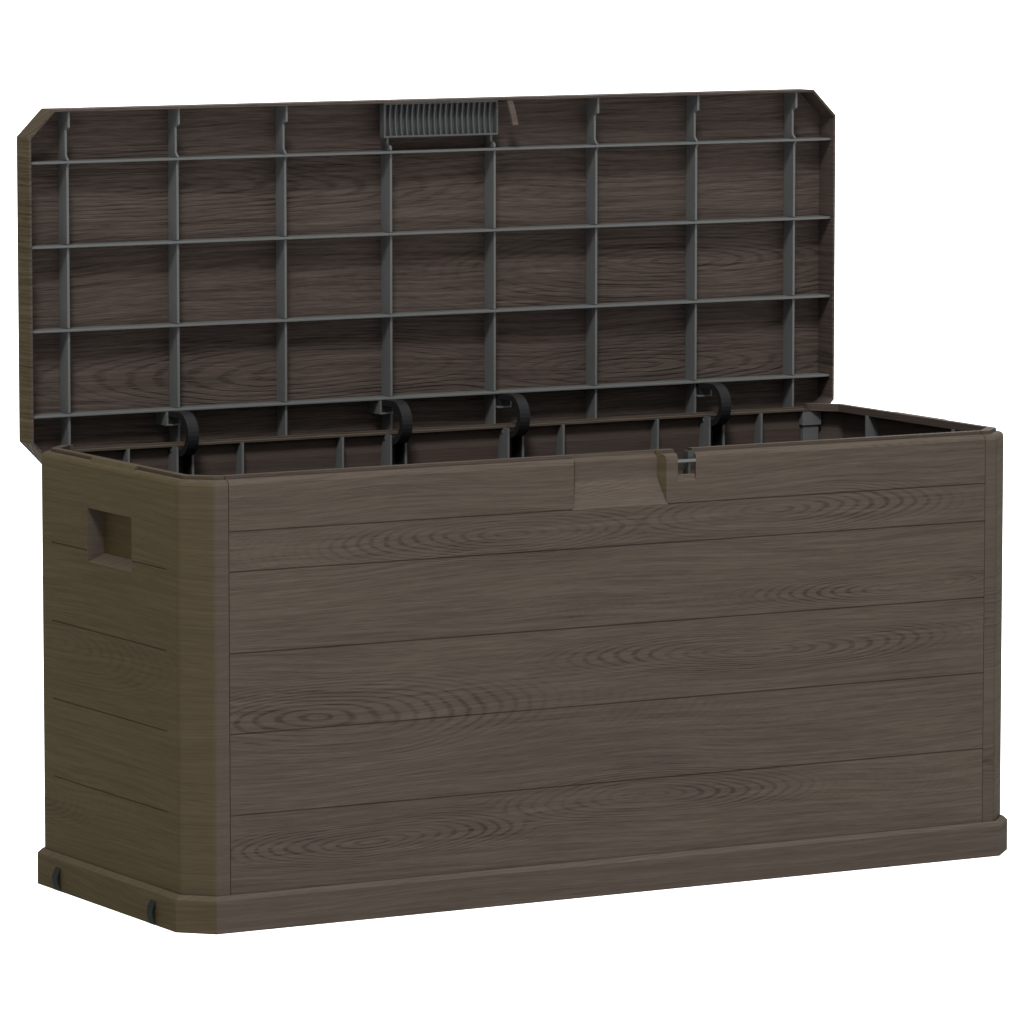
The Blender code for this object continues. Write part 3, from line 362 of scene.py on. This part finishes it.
def steel(name):
    """Drawn steel with fine rings round the pin."""
    graph = Graph(name)
    drawn = graph.field(graph.place(), DRAWN_FIELD, 2.0)
    graph.shade("Base Color", graph.scaled(STEEL_GREY, graph.remap(drawn, *NOISE_SPAN, *STEEL_TONE)))
    graph.shade("Metallic", 1.0)
    graph.shade("Roughness", graph.remap(drawn, *NOISE_SPAN, *STEEL_ROUGH))
    return graph.material


def paper(name):
    """Pale matt paper with faint clouds."""
    graph = Graph(name)
    clouds = graph.remap(graph.noise(graph.place(), FLOOR_CLOUDS, 2.0), *FLOOR_SPAN, FLOOR_TONE)
    graph.shade("Base Color", graph.scaled(FLOOR_PAPER, clouds))
    graph.shade("Roughness", 0.9)
    graph.shade("Specular IOR Level", 0.1)
    return graph.material


# ---------------------------------------------------------------- tools for the parts

def paint(node, *materials):
    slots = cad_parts[node].data.materials
    slots.clear()
    for material in materials:
        slots.append(material)


def choose(node, index, test):
    """Gives another of its materials to the faces whose middle and normal pass the test."""
    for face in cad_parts[node].data.polygons:
        if test(face.center, face.normal):
            face.material_index = index


def soften(node, width):
    """Rounds a part's sharp edges."""
    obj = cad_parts[node]
    weld = obj.modifiers.new("weld", "WELD")
    weld.merge_threshold = WELD_DISTANCE
    bevel = obj.modifiers.new("soft_edges", "BEVEL")
    bevel.width = width
    bevel.segments = 2
    bevel.limit_method = "ANGLE"
    bevel.angle_limit = math.radians(EDGE_ANGLE)


def within(value, span):
    return span[0] < value < span[1]


# ---------------------------------------------------------------- walls, base and lid

def paint_long_walls(inside, ribs):
    paint("front_panel", grain("front_grain", LONG_BROWN, SIDEWAYS_SHADE_BROWN, FRONT_FIGURES), inside, ribs)
    paint("rear_panel", grain("rear_grain", LONG_BROWN, SIDEWAYS_SHADE_BROWN, REAR_FIGURES, shift=REAR_SHIFT),
          inside, ribs)
    low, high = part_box("front_panel")
    seam_x = high.x - SKIN
    skin_y = -low.y - SKIN
    flange_z = SHOULDER_Z - FLANGE

    def front_rib_side(at, facing):
        clear = SCOOP_REACH < abs(at.x) < seam_x and -at.y < skin_y and at.z < flange_z
        return clear and abs(facing.x) > RIB_FACING

    def front_rib_edge(at, facing):
        return facing.y > RIB_FACING and at.y > FRONT_RIB_Y and at.z < flange_z

    def notch_bar(at, facing):
        return (within(at.x, NOTCH_BAR_X) and within(at.z, NOTCH_BAR_Z) and at.y < NOTCH_BAR_Y
                and abs(facing.x) < NOTCH_BAR_FACING)

    def rear_rib_side(at, facing):
        return abs(facing.x) > RIB_FACING and at.y < skin_y and abs(at.x) < seam_x

    def rear_rib_edge(at, facing):
        return facing.y < -RIB_FACING and at.y < REAR_RIB_Y

    choose("front_panel", 1, lambda at, facing: facing.y > INWARD and at.z < flange_z)
    choose("rear_panel", 1, lambda at, facing: facing.y < -INWARD and at.z < flange_z)
    for test in (front_rib_side, front_rib_edge, notch_bar):
        choose("front_panel", 2, test)
    for test in (rear_rib_side, rear_rib_edge):
        choose("rear_panel", 2, test)


def in_hold(at):
    """Whether a point lies within a hand hold's opening."""
    return within(at.y, HOLD_Y) and within(at.z, HOLD_Z) and abs(at.x) > HOLD_X


def paint_side_wall(node, out, inside, ribs):
    """Paints one end wall; out is -1 on the left and 1 on the right."""
    side = grain(node + "_grain", LONG_BROWN, SIDEWAYS_SHADE_BROWN, SIDE_FIGURES, axis=(0.35, 1.0),
                 shift=(SIDE_SHIFT_X * out, SIDE_SHIFT_Y, 0.0), depth=0.00025, strength=0.65)
    paint(node, side, inside, ribs)
    skin_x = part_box("side_panel_right")[1].x - SKIN

    def inner_face(at, facing):
        return facing.x * out < -INWARD and at.x * out < skin_x and not in_hold(at)

    def rib_side(at, facing):
        return abs(facing.y) > RIB_FACING and at.x * out < skin_x and within(abs(at.y), SIDE_RIB_Y)

    def rib_edge(at, facing):
        return (facing.x * out < -RIB_FACING and at.x * out < SIDE_RIB_X
                and within(abs(at.y), SIDE_RIB_Y))

    choose(node, 1, inner_face)
    choose(node, 2, rib_side)
    choose(node, 2, rib_edge)


def paint_walls():
    ribs = smooth_resin("wall_rib_resin", RIB_GREY, roughness=0.50)
    # The faces inside the box take the lit copy of the resin's colour, painted light, without the painted
    # olive shade.
    inside = grain("inside_lit_grain", INSIDE_LIT_BROWN, None, REAR_FIGURES, shift=REAR_SHIFT, strength=0.7)
    paint_long_walls(inside, ribs)
    paint_side_wall("side_panel_left", -1.0, inside, ribs)
    paint_side_wall("side_panel_right", 1.0, inside, ribs)
    paint("base_tray", grain("base_grain", LONG_BROWN, SIDEWAYS_SHADE_BROWN, BASE_FIGURES, axis=(1.0, 0.8),
                             shift=BASE_SHIFT, strength=0.8))


def paint_lid():
    lid = grain("lid_grain", LID_BROWN, SIDEWAYS_SHADE_BROWN, LID_FIGURES, shift=LID_SHIFT, depth=0.0009,
                strength=1.8, figure=0.35)
    paint("lid_panel", lid, grain("skirt_lit_grain", INSIDE_LIT_BROWN, None, LID_FIGURES, shift=LID_SHIFT))
    # The inner faces of the lid's end skirts take that lit copy too: painted light, with no painted olive
    # shade.
    choose("lid_panel", 1, lambda at, facing: facing.x * at.x < -SKIRT_INWARD)
    paint("lid_lock_tongue", grain("tongue_grain", LID_BROWN, None, TONGUE_FIGURES, shift=TONGUE_SHIFT))
    paint("lid_grip_comb", smooth_resin("comb_resin", COMB_GREY, roughness=0.52))


# ---------------------------------------------------------------- ribs, posts and fittings

def paint_fittings():
    grey = smooth_resin("rib_resin", RIB_GREY, roughness=0.50)
    clip = smooth_resin("clip_resin", CLIP_GREY, roughness=0.75, sheen=0.03)
    black = smooth_resin("hinge_resin", HINGE_BLACK, roughness=0.50, speckle=0.20, sheen=0.10)
    finishes = (("lid_cross_rib", grey, RIB_EDGE), ("lid_long_rib", grey, RIB_EDGE),
                ("corner_post", grey, RIB_EDGE), ("base_clip", clip, CLIP_EDGE),
                ("hinge_arm", black, ARM_EDGE), ("hinge_bracket", black, None),
                ("hinge_pin", steel("pin_steel"), None))
    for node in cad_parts:
        for start, material, edge in finishes:
            if node.startswith(start):
                paint(node, material)
                if edge is not None:
                    soften(node, edge)
    paint("padlock_staple", smooth_resin("staple_resin", STAPLE_GREY, roughness=0.55, sheen=0.08))


# ---------------------------------------------------------------- camera, lights and floor

def aim(obj, target):
    direction = Vector(target) - obj.location
    obj.rotation_mode = "QUATERNION"
    obj.rotation_quaternion = direction.to_track_quat("-Z", "Y")


def make_camera():
    azimuth, elevation = math.radians(CAMERA_AZIMUTH), math.radians(CAMERA_ELEVATION)
    back = Vector((math.sin(azimuth) * math.cos(elevation), -math.cos(azimuth) * math.cos(elevation),
                   math.sin(elevation)))
    camera = bpy.data.objects.new("camera", bpy.data.cameras.new("camera"))
    bpy.context.scene.collection.objects.link(camera)
    camera.location = Vector(CAMERA_TARGET) + back * CAMERA_DISTANCE
    camera.data.lens = CAMERA_LENS
    camera.data.sensor_width = CAMERA_SENSOR
    aim(camera, CAMERA_TARGET)
    bpy.context.scene.camera = camera


def make_lights():
    world = bpy.data.worlds.new("studio")
    world.use_nodes = True
    background = world.node_tree.nodes["Background"]
    background.inputs["Color"].default_value = WHITE
    background.inputs["Strength"].default_value = WORLD_STRENGTH
    bpy.context.scene.world = world
    for name, strength, spread, place in LAMPS:
        light = bpy.data.lights.new(name, "SUN")
        light.energy = strength
        light.angle = math.radians(spread)
        lamp = bpy.data.objects.new(name, light)
        bpy.context.scene.collection.objects.link(lamp)
        lamp.location = place
        aim(lamp, (0.0, 0.0, 0.0))
    bpy.context.scene.view_settings.view_transform = "Standard"


def make_floor():
    bpy.ops.mesh.primitive_plane_add(size=FLOOR_SIZE, location=(0.0, 0.0, 0.0))
    floor = bpy.context.object
    floor.name = "floor"
    floor.data.materials.append(paper("floor_paper"))


paint_walls()
paint_lid()
paint_fittings()
make_camera()
make_lights()
make_floor()
